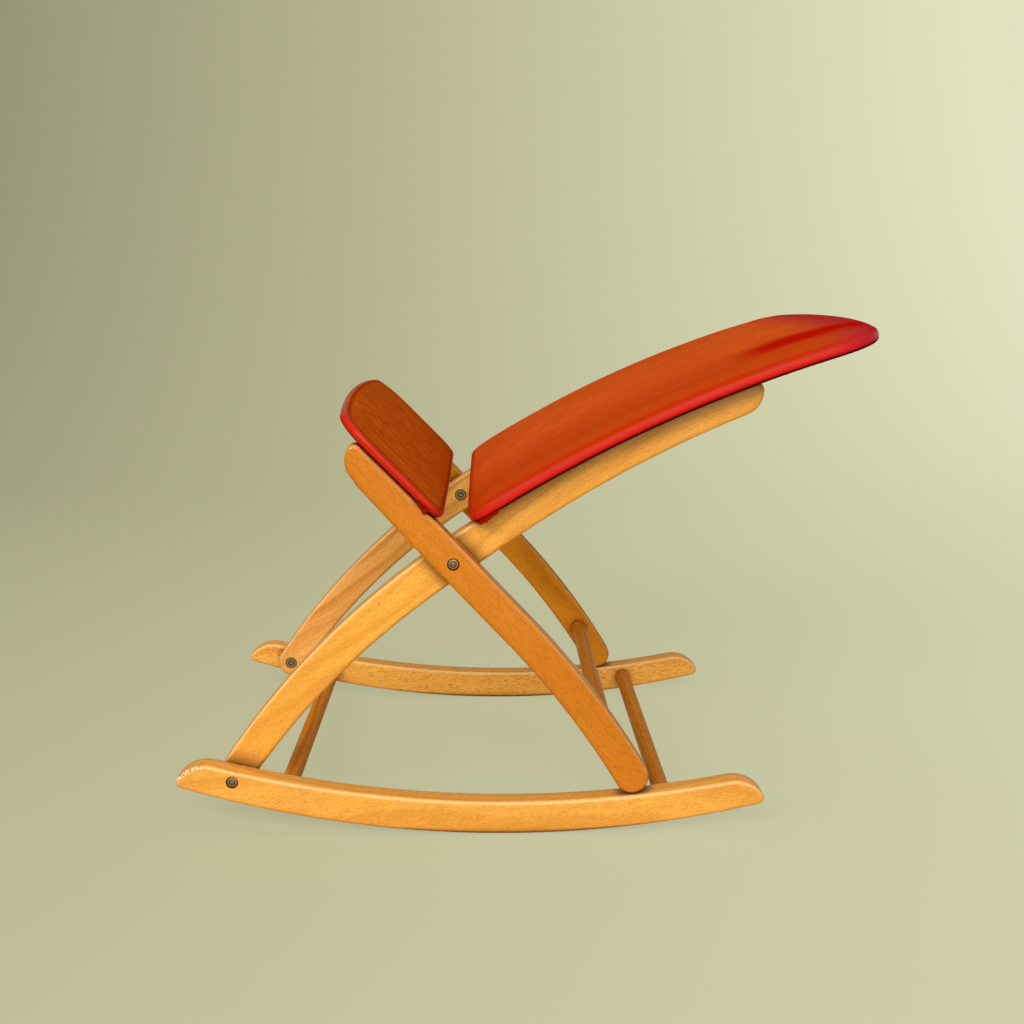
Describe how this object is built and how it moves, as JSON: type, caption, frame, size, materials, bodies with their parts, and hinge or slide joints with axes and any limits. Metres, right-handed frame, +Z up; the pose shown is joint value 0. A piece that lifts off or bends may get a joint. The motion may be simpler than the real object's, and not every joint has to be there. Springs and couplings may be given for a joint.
{
  "type": "folding rocking leg rest",
  "caption": "Low folding leg rest: curved wooden rockers carry crossing bent rails, which hold a long arched pad and a short upright pad in a V.",
  "frame": {"origin": "on the floor, below the middle of the overall length and width", "axes": "+X towards the upper end of the long panel, +Y to the left side, +Z up"},
  "size_m": [0.6374, 0.41, 0.4572],
  "materials": {
    "beech": "satin clear lacquer on steamed beech",
    "oiled_beech": "satin, darker orange beech",
    "aged_brass": "turned and darkened with age",
    "steel": "plain, slightly dull",
    "plywood": "unfinished",
    "wadding": "matt cotton wadding",
    "red_leathercloth": "satin coated cloth with worn streaks"
  },
  "bodies": {
    "rockers": {"rocker_bolt_left": "aged_brass", "rocker_bolt_right": "aged_brass", "rocker_crossbar_front": "oiled_beech", "rocker_crossbar_rear": "oiled_beech", "rocker_left": "beech", "rocker_right": "beech", "rocker_sleeve_nut_left": "aged_brass", "rocker_sleeve_nut_right": "aged_brass", "rocker_washer_left": "steel", "rocker_washer_right": "steel"},
    "long_frame": {"centre_bolt_left": "aged_brass", "centre_bolt_right": "aged_brass", "centre_sleeve_nut_left": "aged_brass", "centre_sleeve_nut_right": "aged_brass", "centre_washer_left": "steel", "centre_washer_right": "steel", "long_panel_board": "plywood", "long_panel_cover": "red_leathercloth", "long_panel_pad": "wadding", "long_panel_screw_left_lower": "steel", "long_panel_screw_left_upper": "steel", "long_panel_screw_right_lower": "steel", "long_panel_screw_right_upper": "steel", "long_rail_left": "beech", "long_rail_right": "beech"},
    "short_frame": {"foot_pin_left": "steel", "foot_pin_right": "steel", "prop_crossbar": "oiled_beech", "short_panel_board": "plywood", "short_panel_cover": "red_leathercloth", "short_panel_pad": "wadding", "short_panel_screw_left_lower": "steel", "short_panel_screw_left_upper": "steel", "short_panel_screw_right_lower": "steel", "short_panel_screw_right_upper": "steel", "short_rail_left": "oiled_beech", "short_rail_right": "oiled_beech"}
  },
  "joints": [
    {"name": "long_frame_pivot", "type": "hinge", "parent": "rockers", "child": "long_frame", "pos_m": [-0.26789, 0, 0.05171], "axis": [0, 1, 0], "range_deg": [0, 26]},
    {"name": "short_frame_pivot", "type": "hinge", "parent": "long_frame", "child": "short_frame", "pos_m": [-0.06805, 0, 0.25057], "axis": [0, -1, 0], "range_deg": [0, 73]}
  ],
  "couplings": [
    {"joint": "short_frame_pivot", "follows": "long_frame_pivot", "ratio": 2.8}
  ]
}
